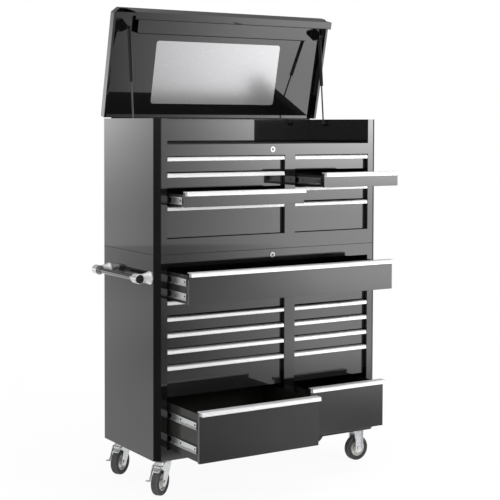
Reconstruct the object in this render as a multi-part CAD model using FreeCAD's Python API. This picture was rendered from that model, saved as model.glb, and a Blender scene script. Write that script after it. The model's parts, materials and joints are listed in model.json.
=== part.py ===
import FreeCAD, Part
import math
import os

# Rolling tool cabinet: a top chest with a hinged lid, standing on a roller cabinet.
# Millimetres, X to the right, Y to the back, Z up. Shapes are drawn from the front left
# corner of the carcass on the floor, and moved to its middle when they are written.

os.makedirs("parts", exist_ok=True)
V = FreeCAD.Vector

# Carcass, the same for chest and cabinet
width = 1250.0
depth = 535.0
sheet = 1.5
corner_x = 28.0
corner_y = 25.0
post_w = 58.0
left_bay = 638.0
back_flange = 20.0
band_return = 20.0
seam_flange = 22.0

# Heights of the roller cabinet, from its floor up
base_rail = 50.0
deep_row = 235.0
cabinet_tall_row = 150.0
pitch = 75.0
cabinet_shallow_rows = 4
wide_row = 150.0
header = 58.0

# Heights of the top chest, from its base up
chest_rail = 71.0
chest_tall_row = 150.0
chest_shallow_rows = 3
lock_band = 53.0
till = 118.0

# Drawers
face_recess = 21.0
front_t = 18.0
skin = 1.2
row_gap = 4.0
row_clear = 2.0
side_clear = 2.0
tray_len = 450.0
rim_drop = 19.0
pull_h = 19.0
pull_t = 2.5
pull_round = 6.0
chest_left_3_open = 184.0
chest_right_2_open = 260.0
wide_open = 222.0
left_6_open = 314.0
right_6_open = 158.0

# Ball slides, one channel on the carcass and one on the drawer
slide_t = 12.7
slide_h = 36.0
slide_web = 1.5
slide_reach = 10.0
slide_len = 440.0
slide_setback = 8.0
slide_fit = 0.3

# Lid, drawn shut and then swung open about its hinge
lid_h = 36.0
lid_gap = 1.0
lid_hem = 12.0
lid_open = 77.0
flap_side = 4.0
flap_lift = 8.0
flap_depth = 36.0
flap_return = 48.0
hat_front = 42.0
hat_back = 118.0
hat_inset = 135.0
catch_w = 24.0
catch_t = 3.0
catch_y = 27.0
catch_drop = 22.0
catch_clear = 5.0
badge_x0 = 262.0
badge_x1 = 985.0
badge_y0 = 154.0
badge_y1 = 469.0
badge_round = 14.0

# Long hinge behind the lid
knuckle_r = 4.0
pin_r = 1.7
pin_fit = 0.3
leaf_t = 1.5
leaf_h = 24.0
knuckle_len = 130.0
knuckle_gap = 0.4
knuckles = 9

# Gas struts
strut_inset = 14.0
strut_foot_y = 365.0
strut_foot_drop = 25.0
strut_head_y = 86.5
strut_head_drop = 29.0
strut_r = 9.0
strut_rod_r = 4.0
strut_eye_r = 8.0
strut_eye_t = 8.0
strut_stud_r = 4.0
strut_tube_len = 245.0
strut_neck = 15.0
strut_fit = 0.3
strut_rod_len = 245.0
head_stud = 10.0
bracket_t = 2.5
bracket_w = 38.0
bracket_len = 66.0

# Locks
lock_flange_r = 13.0
lock_flange_t = 3.0
lock_barrel_r = 9.5
lock_barrel_len = 24.0
lock_plug_r = 7.0
lock_fit = 0.3
key_w = 1.8
key_h = 8.0
cam_t = 2.0
cam_w = 10.0
cam_len = 20.0

# Push handle on the left side
handle_z = 836.0
handle_out = 62.0
handle_inset = 58.0
bar_r = 13.0
bar_wall = 2.0
barrel_r = 22.5
barrel_len = 46.0
barrel_edge = 3.0
socket_depth = 30.0
foot_r = 31.0
foot_t = 4.0
neck_r = 20.0
bar_fit = 0.3
collar_r = 20.0
collar_end_r = 15.0
collar_len = 28.0
bar_end_gap = 2.0
cap_r = 18.0
cap_depth = 4.0
cap_proud = 2.0

# Casters
caster_h = 168.0
plate_x = 100.0
plate_y = 85.0
plate_t = 4.0
plate_round = 10.0
bolt_hole_r = 4.5
bolt_inset = 12.0
race_r = 31.0
race_h = 12.0
kingpin_r = 6.0
caster_fit = 0.3
trail = 38.0
swivel_x = 80.0
swivel_front_y = 72.0
swivel_rear_y = 482.0
front_heading = 214.0
rear_heading = 211.0
rigid_x = 62.0
rigid_front_y = 78.0
rigid_rear_y = 457.0
wheel_r = 62.5
wheel_w = 36.0
tread_edge = 8.0
tread_drop = 2.5
side_drop = 7.0
rim_r = 40.0
rim_w = 30.0
rim_t = 4.0
hub_web = 8.0
hub_dish = 5.0
hub_r = 15.0
axle_r = 6.0
fork_t = 3.5
fork_inner = 42.0
fork_flange = 6.0
crown_r = 34.0
swivel_end_r = 20.0
rigid_half = 24.5
rigid_end_r = 22.0
nut_r = 9.0
nut_t = 5.0

# Brake on each swivel caster: a shoe over the tread, turned by a lever beside the fork
brake_u = 60.0
brake_z = 133.5
brake_pin_r = 4.0
brake_hub_r = 8.0
brake_w = 34.0
brake_t = 3.0
shoe_gap = 4.0
shoe_arc = 42.0
lever_w = 11.0
lever_knee_u = 97.0
lever_knee_z = 100.0
lever_tip_u = 103.0
lever_tip_z = 74.0
tab_len = 15.0
ear_r = 9.0

# Levels and bays that follow from the sizes above
floor_z = caster_h
cabinet_h = (base_rail + deep_row + cabinet_tall_row + cabinet_shallow_rows * pitch
             + wide_row + header)
base_z = floor_z + cabinet_h
till_z = base_z + chest_rail + chest_tall_row + chest_shallow_rows * pitch + lock_band
top_z = till_z + till
bays = ((post_w, post_w + left_bay), (2 * post_w + left_bay, width - post_w))
wide_bay = (post_w, width - post_w)
back_y = depth - sheet
panel_y = back_y - sheet
hinge_y = back_y + knuckle_r + pin_fit
hinge_z = top_z + lid_gap / 2
lid_z = top_z + lid_gap
lid_top = lid_z + lid_h


def box(x0, x1, y0, y1, z0, z1):
    return Part.makeBox(x1 - x0, y1 - y0, z1 - z0, V(x0, y0, z0))


def cylinder(r, length, base, axis):
    return Part.makeCylinder(r, length, base, axis)


def ring(outer, inner, length, base, axis):
    return cylinder(outer, length, base, axis).cut(cylinder(inner, length, base, axis))


def prism(points, along):
    return Part.Face(Part.makePolygon(points + points[:1])).extrude(along)


def prism_x(points, x0, x1):
    return prism([V(x0, y, z) for y, z in points], V(x1 - x0, 0, 0))


def prism_y(points, y0, y1):
    return prism([V(x, y0, z) for x, z in points], V(0, y1 - y0, 0))


def prism_z(points, z0, z1):
    return prism([V(x, y, z0) for x, y in points], V(0, 0, z1 - z0))


def folded(path, t):
    """Outline of a sheet bent along a path, t thick on the left of the path."""
    normals = []
    for (ax, ay), (bx, by) in zip(path, path[1:]):
        run = math.hypot(bx - ax, by - ay)
        normals.append(((ay - by) / run, (bx - ax) / run))
    pairs = zip([normals[0]] + normals, normals + [normals[-1]])
    other = []
    for (x, y), ((ax, ay), (bx, by)) in zip(path, pairs):
        mitre = t / (1 + ax * bx + ay * by)
        other.append((x + (ax + bx) * mitre, y + (ay + by) * mitre))
    return list(path) + other[::-1]


def mirrored(shape):
    return shape.mirror(V(width / 2, 0, 0), V(1, 0, 0))


def write(name, *solids):
    shape = solids[0] if len(solids) == 1 else Part.makeCompound(list(solids))
    shape = shape.copy()
    shape.translate(V(-width / 2, -depth / 2, 0))
    shape.exportStep("parts/" + name + ".step")


# Carcass

def side_panel(z0, z1):
    """Left side: seam flange behind the stile, chamfered corner, side, back flange."""
    lap = corner_x - sheet * corner_x / corner_y
    path = [(corner_x + seam_flange, sheet), (lap, sheet), (0, corner_y)]
    path += [(0, depth), (back_flange, depth)]
    return prism_z(folded(path[::-1], sheet), z0, z1)


def chest_side():
    """Left side of the chest, with the ledge that closes the double wall on top."""
    ledge = [(corner_x, 0), (post_w, 0), (post_w, back_y), (back_flange, back_y)]
    ledge += [(back_flange, depth), (0, depth), (0, corner_y)]
    ledge = prism_z(ledge, top_z - sheet, top_z)
    return side_panel(base_z + sheet, top_z - sheet).fuse(ledge).removeSplitter()


def carcass_sheet(z0):
    """Full floor, top or base of a box, with both front corners cut."""
    outline = [(corner_x, 0), (width - corner_x, 0), (width, corner_y), (width, depth)]
    outline += [(0, depth), (0, corner_y)]
    return prism_z(outline, z0, z0 + sheet)


def back_panel(z0, z1):
    return box(sheet, width - sheet, panel_y, back_y, z0, z1)


def post(z0, z1):
    """Left post: the stile in front and the liner that carries the slides."""
    path = [(corner_x, 0), (post_w, 0), (post_w, panel_y), (corner_x, panel_y)]
    return prism_z(folded(path, sheet), z0, z1)


def divider(z0, z1):
    """Centre post and both walls of the divider behind it, one folded sheet."""
    x0, x1 = bays[0][1], bays[1][0]
    return prism_z(folded([(x0, panel_y), (x0, 0), (x1, 0), (x1, panel_y)], sheet), z0, z1)


def band(z0, z1, lock=None):
    """Cross band between the posts, folded back above and below."""
    path = [(band_return, z0), (0, z0), (0, z1), (band_return, z1)]
    solid = prism_x(folded(path[::-1], sheet), *wide_bay)
    if lock:
        hole = cylinder(lock_barrel_r + lock_fit, band_return, V(width / 2, -1, lock), V(0, 1, 0))
        solid = solid.cut(hole)
    return solid


# Rows of drawers, each as (name, bay, floor of the row, height, how far out, slides)

def column(prefix, bay, heights, z_top, pulled):
    rows = []
    for number, (height, slides) in enumerate(heights, 1):
        z_top -= height
        out = pulled.get(number, 0.0)
        rows.append((prefix + str(number), bay, z_top, height, out, slides))
    return rows


chest_heights = [(pitch, 1)] * chest_shallow_rows + [(chest_tall_row, 1)]
cabinet_heights = [(pitch, 1)] * cabinet_shallow_rows
cabinet_heights += [(cabinet_tall_row, 1), (deep_row, 2)]
band_z = till_z - lock_band
wide_z = base_z - header - wide_row
chest_rows = column("chest_drawer_left_", bays[0], chest_heights, band_z, {3: chest_left_3_open})
chest_rows += column("chest_drawer_right_", bays[1], chest_heights, band_z,
                     {2: chest_right_2_open})
cabinet_rows = [("drawer_wide", wide_bay, wide_z, wide_row, wide_open, 2)]
cabinet_rows += column("drawer_left_", bays[0], cabinet_heights, wide_z,
                       {len(cabinet_heights): left_6_open})
cabinet_rows += column("drawer_right_", bays[1], cabinet_heights, wide_z,
                       {len(cabinet_heights): right_6_open})


def slide_levels(z0, height, count):
    """Heights of a row's slides: one in the middle of the tray, or two shared out."""
    tray_z0 = z0 + row_clear
    tray_h = height - rim_drop - row_clear
    return [tray_z0 + tray_h * (2 * n + 1) / (2 * count) for n in range(count)]


def slide_channel(x, side, z, reach, half, y0):
    """Channel with its web at x and its flanges reaching towards side."""
    web = x + side * slide_web
    tip = x + side * reach
    profile = [(x, z - half), (tip, z - half), (tip, z - half + slide_web)]
    profile += [(web, z - half + slide_web), (web, z + half - slide_web)]
    profile += [(tip, z + half - slide_web), (tip, z + half), (x, z + half)]
    return prism_y(profile, y0, y0 + slide_len)


def carcass_slides(rows):
    y0 = face_recess + front_t
    channels = []
    for name, (x0, x1), z0, height, out, count in rows:
        for z in slide_levels(z0, height, count):
            channels.append(slide_channel(x0, 1, z, slide_reach, slide_h / 2, y0))
            channels.append(slide_channel(x1, -1, z, slide_reach, slide_h / 2, y0))
    return channels


def finger_pull(x0, x1, z_top):
    """Extruded pull that caps the front and hangs before it as a rounded hook."""
    r = pull_round
    t = pull_t
    back = face_recess + front_t
    leg = face_recess - t
    bevel = math.sqrt(0.5)
    outer = Part.Arc(V(x0, r, z_top), V(x0, r - r * bevel, z_top - r + r * bevel),
                     V(x0, 0, z_top - r))
    q = r - t
    inner = Part.Arc(V(x0, t, z_top - r), V(x0, r - q * bevel, z_top - r + q * bevel),
                     V(x0, r, z_top - t))
    ends = [V(x0, r, z_top - t), V(x0, leg, z_top - t), V(x0, leg, z_top - pull_h)]
    ends += [V(x0, face_recess, z_top - pull_h), V(x0, face_recess, z_top - t)]
    ends += [V(x0, back, z_top - t), V(x0, back, z_top), V(x0, r, z_top)]
    edges = [outer.toShape()]
    edges.append(Part.makeLine(V(x0, 0, z_top - r), V(x0, 0, z_top - pull_h)))
    edges.append(Part.makeLine(V(x0, 0, z_top - pull_h), V(x0, t, z_top - pull_h)))
    edges.append(Part.makeLine(V(x0, t, z_top - pull_h), V(x0, t, z_top - r)))
    edges.append(inner.toShape())
    edges += [Part.makeLine(a, b) for a, b in zip(ends, ends[1:])]
    return Part.Face(Part.Wire(edges)).extrude(V(x1 - x0, 0, 0))


def drawer(bay, z0, height, out, count):
    """Tray, double front, pull and the drawer's own slide channels."""
    fx0, fx1 = bay[0] + side_clear, bay[1] - side_clear
    tx0, tx1 = bay[0] + slide_t, bay[1] - slide_t
    y_face = face_recess
    y_tray = face_recess + front_t
    z_low = z0 + row_clear
    z_rim = z0 + height - rim_drop
    z_top = z0 + height - row_gap
    tray = box(tx0, tx1, y_tray, y_tray + tray_len, z_low, z_rim)
    tray = tray.cut(box(tx0 + skin, tx1 - skin, y_tray + skin, y_tray + tray_len - skin,
                        z_low + skin, z_rim))
    front = box(fx0, fx1, y_face, y_tray, z_low, z_top - pull_t)
    front = front.cut(box(fx0 + skin, fx1 - skin, y_face + skin, y_tray,
                          z_low + skin, z_top - pull_t - skin))
    solids = [tray, front, finger_pull(fx0, fx1, z_top)]
    half = slide_h / 2 - slide_web - slide_fit
    for z in slide_levels(z0, height, count):
        solids.append(slide_channel(tx0, -1, z, slide_reach, half, y_tray + slide_setback))
        solids.append(slide_channel(tx1, 1, z, slide_reach, half, y_tray + slide_setback))
    for solid in solids:
        solid.translate(V(0, -out, 0))
    return solids


# Lid

def swung(shape):
    shape.rotate(V(0, hinge_y, hinge_z), V(1, 0, 0), -lid_open)
    return shape


def lid_shell():
    """Pan with cut front corners, stiffened by a hat, and the flap that shuts the till."""
    under = lid_top - sheet
    walls = [(0, back_y), (0, corner_y), (corner_x, 0), (width - corner_x, 0)]
    walls += [(width, corner_y), (width, back_y)]
    shell = prism_z(folded(walls, sheet), lid_z, under)
    shell = shell.fuse(box(0, width, back_y - sheet, back_y, lid_z, under))
    shell = shell.fuse(prism_z(walls, under, lid_top))
    for x0, x1 in ((0, lid_hem), (width - lid_hem, width)):
        shell = shell.fuse(box(x0, x1, corner_y, back_y, lid_z, lid_z + sheet))
    low = till_z + flap_lift
    flap = folded([(0, lid_z), (0, low), (flap_depth, low), (flap_depth, low + flap_return)], sheet)
    x0, x1 = post_w + flap_side, width - post_w - flap_side
    shell = shell.fuse(prism_x(flap, x0, x1))
    hat = folded([(hat_front, under), (hat_front, lid_z), (hat_back, lid_z), (hat_back, under)],
                 sheet)
    shell = shell.fuse(prism_x(hat, hat_inset, width - hat_inset))
    catch = [(catch_y, low), (catch_y, low - catch_drop + catch_t), (catch_y + catch_t, low - catch_drop)]
    catch += [(catch_y + 2 * catch_t, low - catch_drop + catch_t), (catch_y + catch_t, low)]
    shell = shell.fuse(prism_x(catch, width / 2 - catch_w / 2, width / 2 + catch_w / 2))
    return shell.removeSplitter()


def till_floor():
    """Floor of the till, slotted for the lid's catch."""
    floor = box(post_w, width - post_w, 0, panel_y, till_z - sheet, till_z)
    half = catch_w / 2 + catch_clear
    slot = box(width / 2 - half, width / 2 + half, catch_y - catch_clear,
               catch_y + 2 * catch_t + catch_clear, till_z - sheet, till_z)
    return floor.cut(slot)


def lid_badge():
    """Bare bright plate on the underside of the lid."""
    z = lid_top - 2 * sheet
    plate = box(badge_x0, badge_x1, badge_y0, badge_y1, z, z + sheet)
    upright = [e for e in plate.Edges if abs(e.tangentAt(e.FirstParameter).z) > 0.9]
    return plate.makeFillet(badge_round, upright)


def hinge_leaf(z0, z1, first):
    """One leaf on the back of the box or lid, with every second knuckle."""
    start = (width - knuckles * knuckle_len) / 2
    leaf = box(start, start + knuckles * knuckle_len, back_y, back_y + leaf_t, z0, z1)
    for n in range(knuckles):
        x = start + n * knuckle_len
        if n % 2 == first:
            leaf = leaf.fuse(cylinder(knuckle_r, knuckle_len - knuckle_gap,
                                      V(x + knuckle_gap / 2, hinge_y, hinge_z), V(1, 0, 0)))
        else:
            leaf = leaf.cut(cylinder(knuckle_r + pin_fit, knuckle_len + knuckle_gap,
                                     V(x - knuckle_gap / 2, hinge_y, hinge_z), V(1, 0, 0)))
    bore = cylinder(pin_r + pin_fit, width, V(0, hinge_y, hinge_z), V(1, 0, 0))
    return leaf.cut(bore)


def hinge_pin():
    start = (width - knuckles * knuckle_len) / 2
    return cylinder(pin_r, knuckles * knuckle_len, V(start, hinge_y, hinge_z), V(1, 0, 0))


# Gas struts. The foot turns on a stud in the till, the head stays with the lid.

strut_x = post_w + strut_inset
foot = V(strut_x, strut_foot_y, top_z - strut_foot_drop)


def strut_head():
    """Where the lid holds the strut, with the lid open."""
    point = Part.Vertex(V(strut_x, strut_head_y, top_z - strut_head_drop))
    return swung(point).Point


def strut_axis():
    along = strut_head().sub(foot)
    return along.normalize()


def strut_rod():
    along = strut_axis()
    eye = cylinder(strut_eye_r, strut_eye_t, foot - V(strut_eye_t / 2, 0, 0), V(1, 0, 0))
    rod = cylinder(strut_rod_r, strut_rod_len, foot, along)
    bore = cylinder(strut_stud_r + strut_fit, strut_eye_t, foot - V(strut_eye_t / 2, 0, 0),
                    V(1, 0, 0))
    return eye.fuse(rod).cut(bore)


def strut_tube():
    """Pressure tube with its neck, and the stud that faces the bracket beside it."""
    along = strut_axis()
    head = strut_head()
    mouth = head - along * (strut_neck + strut_tube_len)
    tube = cylinder(strut_r, strut_tube_len, mouth, along)
    tube = tube.fuse(cylinder(strut_r / 2, strut_neck, head - along * strut_neck, along))
    tube = tube.fuse(cylinder(strut_eye_r, strut_eye_t, head - V(strut_eye_t / 2, 0, 0),
                              V(1, 0, 0)))
    tube = tube.fuse(cylinder(strut_stud_r, head_stud, head, V(-1, 0, 0)))
    bore = cylinder(strut_rod_r + strut_fit, strut_tube_len - 2 * sheet, mouth, along)
    return tube.cut(bore)


def foot_stud():
    length = strut_inset + strut_eye_t / 2
    stud = cylinder(strut_stud_r, length, V(post_w, foot.y, foot.z), V(1, 0, 0))
    collar = cylinder(strut_eye_r, strut_inset - strut_eye_t / 2 - strut_fit,
                      V(post_w, foot.y, foot.z), V(1, 0, 0))
    return stud.fuse(collar)


def head_bracket():
    """Gusset beside the strut, just clear of its stud, with its foot under the lid."""
    x = strut_x - head_stud - strut_fit
    y, z = strut_head_y, top_z - strut_head_drop
    half = bracket_len / 2
    under = lid_top - sheet
    gusset = [(y - strut_eye_r, z - strut_eye_r), (y + strut_eye_r, z - strut_eye_r)]
    gusset += [(y + half, under), (y - half, under)]
    web = prism_x(gusset, x - bracket_t, x)
    foot_plate = box(x - bracket_w, x, y - half, y + half, under - bracket_t, under)
    return web.fuse(foot_plate).removeSplitter()


# Locks

def lock_housing(z):
    flange = cylinder(lock_flange_r, lock_flange_t, V(width / 2, -lock_flange_t, z), V(0, 1, 0))
    barrel = cylinder(lock_barrel_r, lock_barrel_len, V(width / 2, 0, z), V(0, 1, 0))
    bore = cylinder(lock_plug_r + lock_fit, lock_barrel_len + lock_flange_t,
                    V(width / 2, -lock_flange_t, z), V(0, 1, 0))
    return flange.fuse(barrel).cut(bore)


def lock_plug(z):
    """Plug with its key slot, and the cam behind the barrel, lying to the left."""
    plug = cylinder(lock_plug_r, lock_barrel_len + lock_flange_t + lock_fit,
                    V(width / 2, -lock_flange_t, z), V(0, 1, 0))
    cam_y = lock_barrel_len + lock_fit
    cam = box(width / 2 - cam_len, width / 2 + cam_w / 2, cam_y, cam_y + cam_t,
              z - cam_w / 2, z + cam_w / 2)
    plug = plug.fuse(cam)
    slot = box(width / 2 - key_w / 2, width / 2 + key_w / 2, -lock_flange_t, lock_flange_t,
               z - key_h / 2, z + key_h / 2)
    return plug.cut(slot)


# Push handle

def handle_bracket(y, inward):
    """Flared arm from the side panel to a barrel that takes the bar's end and a cap."""
    z = floor_z + handle_z
    waist = -(foot_t + handle_out / 3)
    flare = Part.Arc(V(-foot_t, y + foot_r, z), V(waist, y + (foot_r + 2 * neck_r) / 3, z),
                     V(-handle_out, y + neck_r, z))
    corners = [V(-handle_out, y + neck_r, z), V(-handle_out, y, z), V(0, y, z),
               V(0, y + foot_r, z), V(-foot_t, y + foot_r, z)]
    edges = [flare.toShape()]
    edges += [Part.makeLine(a, b) for a, b in zip(corners, corners[1:])]
    arm = Part.Face(Part.Wire(edges)).revolve(V(0, y, z), V(1, 0, 0), 360)
    outer_y = y - inward * barrel_len / 2
    across = V(0, inward, 0)
    barrel = cylinder(barrel_r, barrel_len - barrel_edge,
                      V(-handle_out, outer_y + inward * barrel_edge, z), across)
    barrel = barrel.fuse(Part.makeCone(barrel_r - barrel_edge, barrel_r, barrel_edge,
                                       V(-handle_out, outer_y, z), across))
    socket_y = y + inward * (barrel_len / 2 - socket_depth)
    socket = cylinder(bar_r + bar_fit, socket_depth, V(-handle_out, socket_y, z), across)
    recess = cylinder(cap_r, cap_depth, V(-handle_out, outer_y, z), across)
    return arm.fuse(barrel).cut(socket).cut(recess)


def handle_cap(y, inward):
    """Domed plug in the barrel's outer end."""
    start = V(-handle_out, y - inward * (barrel_len / 2 - cap_depth), floor_z + handle_z)
    out = V(0, -inward, 0)
    plug = cylinder(cap_r - bar_fit, cap_depth, start, out)
    return plug.fuse(Part.makeCone(cap_r - bar_fit, cap_r / 2, cap_proud, start + out * cap_depth, out))


def handle_span():
    """Ends of the bar, inside both sockets."""
    reach = barrel_len / 2 - socket_depth + bar_end_gap
    return handle_inset + reach, depth - handle_inset - reach


def handle_bar():
    y0, y1 = handle_span()
    return ring(bar_r, bar_r - bar_wall, y1 - y0, V(-handle_out, y0, floor_z + handle_z),
                V(0, 1, 0))


def handle_collar(y, inward):
    """Sleeve on the bar, tapering away from the barrel."""
    start = V(-handle_out, y + inward * (barrel_len / 2 + bar_fit), floor_z + handle_z)
    across = V(0, inward, 0)
    sleeve = Part.makeCone(collar_r, collar_end_r, collar_len, start, across)
    return sleeve.cut(cylinder(bar_r + bar_fit, collar_len, start, across))


# Casters, drawn with the kingpin on the Z axis and the wheel trailing towards +X

def mounting_plate():
    plate = box(-plate_x / 2, plate_x / 2, -plate_y / 2, plate_y / 2, caster_h - plate_t, caster_h)
    upright = [e for e in plate.Edges if abs(e.tangentAt(e.FirstParameter).z) > 0.9]
    plate = plate.makeFillet(plate_round, upright)
    for sx in (-1, 1):
        for sy in (-1, 1):
            at = V(sx * (plate_x / 2 - bolt_inset), sy * (plate_y / 2 - bolt_inset), 0)
            plate = plate.cut(cylinder(bolt_hole_r, caster_h, at, V(0, 0, 1)))
    return plate


def swivel_plate():
    low = caster_h - plate_t - race_h
    race = cylinder(race_r, race_h, V(0, 0, low), V(0, 0, 1))
    bore = cylinder(kingpin_r + caster_fit, race_h + plate_t, V(0, 0, low), V(0, 0, 1))
    return mounting_plate().fuse(race).cut(bore)


def tangent_point(u, z, wheel_u, r, side):
    """Where a line from a corner of the crown touches the round end at the axle."""
    reach = math.hypot(u - wheel_u, z - wheel_r)
    angle = math.atan2(z - wheel_r, u - wheel_u) + side * math.acos(r / reach)
    return wheel_u + r * math.cos(angle), wheel_r + r * math.sin(angle)


def fork_leg(wheel_u, z_top, half_top, end_r, side, flange=0.0):
    """One leg, straight from the crown to a round end at the axle, its edges folded out."""
    v = side * fork_inner / 2
    grow = V(0, side * fork_t, 0)
    across = V(0, side, 0)
    shoulder = z_top - fork_t
    back = tangent_point(-half_top, shoulder, wheel_u, end_r, 1)
    front = tangent_point(half_top, shoulder, wheel_u, end_r, -1)
    outline = [(-half_top, z_top), (half_top, z_top), (half_top, shoulder), front,
               (wheel_u, wheel_r), back, (-half_top, shoulder)]
    leg = prism([V(u, v, z) for u, z in outline], grow)
    leg = leg.fuse(cylinder(end_r, fork_t, V(wheel_u, v, wheel_r), across))
    if flange:
        for (u0, z0), (u1, z1), turn in (((-half_top, shoulder), back, 1),
                                         ((half_top, shoulder), front, -1)):
            run = math.hypot(u1 - u0, z1 - z0)
            du, dz = turn * fork_t * (z0 - z1) / run, turn * fork_t * (u1 - u0) / run
            strip = [(u0, z0), (u1, z1), (u1 + du, z1 + dz), (u0 + du, z0 + dz)]
            leg = leg.fuse(prism([V(u, v, z) for u, z in strip], across * (fork_t + flange)))
    hole = cylinder(axle_r + caster_fit, fork_t, V(wheel_u, v, wheel_r), across)
    return leg.cut(hole)


def axle_bolt(wheel_u):
    reach = fork_inner / 2 + fork_t
    shaft = cylinder(axle_r, 2 * reach, V(wheel_u, -reach, wheel_r), V(0, 1, 0))
    for side in (-1, 1):
        shaft = shaft.fuse(cylinder(nut_r, nut_t, V(wheel_u, side * reach, wheel_r), V(0, side, 0)))
    return shaft


def swivel_fork():
    """Crown with kingpin, two legs and the ears that carry the brake's pin."""
    z_top = caster_h - plate_t - race_h - caster_fit
    crown = cylinder(crown_r, fork_t, V(0, 0, z_top - fork_t), V(0, 0, 1))
    fork = crown.fuse(cylinder(kingpin_r, race_h + caster_fit, V(0, 0, z_top), V(0, 0, 1)))
    fork = fork.fuse(box(-crown_r, crown_r, -fork_inner / 2, fork_inner / 2, z_top - fork_t, z_top))
    for side in (-1, 1):
        v = side * fork_inner / 2
        grow = V(0, side * fork_t, 0)
        fork = fork.fuse(fork_leg(trail, z_top, crown_r, swivel_end_r, side))
        ear = prism([V(crown_r / 2, v, z_top), V(crown_r, v, z_top), V(brake_u, v, brake_z + ear_r),
                     V(brake_u, v, brake_z - ear_r), V(crown_r / 2, v, brake_z - 3 * ear_r)], grow)
        ear = ear.fuse(cylinder(ear_r, fork_t, V(brake_u, v, brake_z), V(0, side, 0)))
        hole = cylinder(brake_pin_r + caster_fit, fork_t, V(brake_u, v, brake_z), V(0, side, 0))
        fork = fork.fuse(ear).cut(hole)
    return fork.removeSplitter()


def rigid_fork():
    z_top = caster_h - plate_t
    fork = mounting_plate()
    for side in (-1, 1):
        fork = fork.fuse(fork_leg(0.0, z_top, rigid_half, rigid_end_r, side, fork_flange))
    return fork.removeSplitter()


def brake_pedal():
    """Pin through both ears, a shoe just off the tread and a lever outside the fork."""
    outer = fork_inner / 2 + fork_t + caster_fit
    pin = cylinder(brake_pin_r, 2 * outer + brake_t, V(brake_u, -outer - brake_t, brake_z),
                   V(0, 1, 0))
    pin = pin.fuse(cylinder(ear_r, brake_t, V(brake_u, outer, brake_z), V(0, 1, 0)))
    hub = cylinder(brake_hub_r, brake_w, V(brake_u, -brake_w / 2, brake_z), V(0, 1, 0))
    start = math.degrees(math.atan2(brake_z - wheel_r, brake_u - trail))
    inner = wheel_r + shoe_gap
    shoe = ring(inner + brake_t, inner, brake_w, V(trail, -brake_w / 2, wheel_r), V(0, 1, 0))
    reach = 2 * wheel_r
    sector = [V(trail, -brake_w / 2, wheel_r)]
    for angle in (start, start - shoe_arc):
        turn = math.radians(angle)
        sector.append(V(trail + reach * math.cos(turn), -brake_w / 2, wheel_r + reach * math.sin(turn)))
    shoe = shoe.common(prism(sector, V(0, brake_w, 0)))
    low = cylinder(inner, brake_w, V(trail, -brake_w / 2, wheel_r), V(0, 1, 0))
    pedal = pin.fuse(hub).fuse(shoe).cut(low)
    path = [(brake_u, brake_z), (lever_knee_u, lever_knee_z), (lever_tip_u, lever_tip_z)]
    lever = prism([V(u, -outer, z) for u, z in folded(path, lever_w)], V(0, -brake_t, 0))
    eye = cylinder(ear_r, brake_t, V(brake_u, -outer, brake_z), V(0, -1, 0))
    tab = box(lever_tip_u, lever_tip_u + lever_w, -outer - brake_t - tab_len, -outer,
              lever_tip_z, lever_tip_z + brake_t)
    return pedal.fuse(lever).fuse(eye).fuse(tab).removeSplitter()


def turned(profile, axis):
    """Outline of radius and offset, revolved about a wheel's axle."""
    points = [axis + V(0, v, r) for r, v in profile]
    return Part.Face(Part.makePolygon(points + points[:1])).revolve(axis, V(0, 1, 0), 360)


def both_sides(half_profile):
    """Outline closed by its own mirror image about the wheel's middle."""
    return half_profile + [(r, -v) for r, v in half_profile[::-1]]


def wheel(wheel_u):
    """Tyre and dished hub, two solids that turn together."""
    axis = V(wheel_u, 0, wheel_r)
    half = wheel_w / 2
    tyre = [(rim_r, half), (wheel_r - side_drop, half), (wheel_r - tread_drop, half - tread_drop),
            (wheel_r, half - tread_edge)]
    boss = fork_inner / 2 - caster_fit
    hub = [(axle_r + caster_fit, boss), (hub_r, boss), (hub_r, hub_web / 2),
           (rim_r - rim_t - hub_dish, hub_web / 2), (rim_r - rim_t, hub_web / 2 + hub_dish),
           (rim_r - rim_t, rim_w / 2), (rim_r, rim_w / 2)]
    return [turned(both_sides(tyre), axis), turned(both_sides(hub), axis)]


def placed(shapes, x, y, heading):
    moved = []
    for shape in shapes:
        shape = shape.copy()
        shape.rotate(V(0, 0, 0), V(0, 0, 1), heading)
        shape.translate(V(x, y, 0))
        moved.append(shape)
    return moved


# Roller cabinet
cabinet_low = floor_z + sheet
cabinet_high = base_z - sheet
write("cabinet_left_side", side_panel(cabinet_low, cabinet_high))
write("cabinet_right_side", mirrored(side_panel(cabinet_low, cabinet_high)))
write("cabinet_back", back_panel(cabinet_low, cabinet_high))
write("cabinet_top", carcass_sheet(cabinet_high))
write("cabinet_floor", carcass_sheet(floor_z))
cabinet_lock_z = base_z - header / 2
write("cabinet_frame",
      post(cabinet_low, cabinet_high),
      mirrored(post(cabinet_low, cabinet_high)),
      band(cabinet_low, floor_z + base_rail),
      band(base_z - header, cabinet_high, cabinet_lock_z),
      divider(floor_z + base_rail, wide_z))
write("cabinet_slides", *carcass_slides(cabinet_rows))

# Top chest
chest_low = base_z + sheet
write("chest_left_side", chest_side())
write("chest_right_side", mirrored(chest_side()))
write("chest_back", back_panel(chest_low, top_z - sheet))
write("chest_base", carcass_sheet(base_z))
chest_lock_z = till_z - lock_band / 2
write("chest_frame",
      post(chest_low, top_z - sheet),
      mirrored(post(chest_low, top_z - sheet)),
      band(chest_low, base_z + chest_rail),
      band(band_z, till_z - sheet, chest_lock_z),
      divider(base_z + chest_rail, band_z))
write("chest_till_floor", till_floor())
write("chest_slides", *carcass_slides(chest_rows))

for name, bay, z0, height, out, count in chest_rows + cabinet_rows:
    write(name, *drawer(bay, z0, height, out, count))

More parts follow.
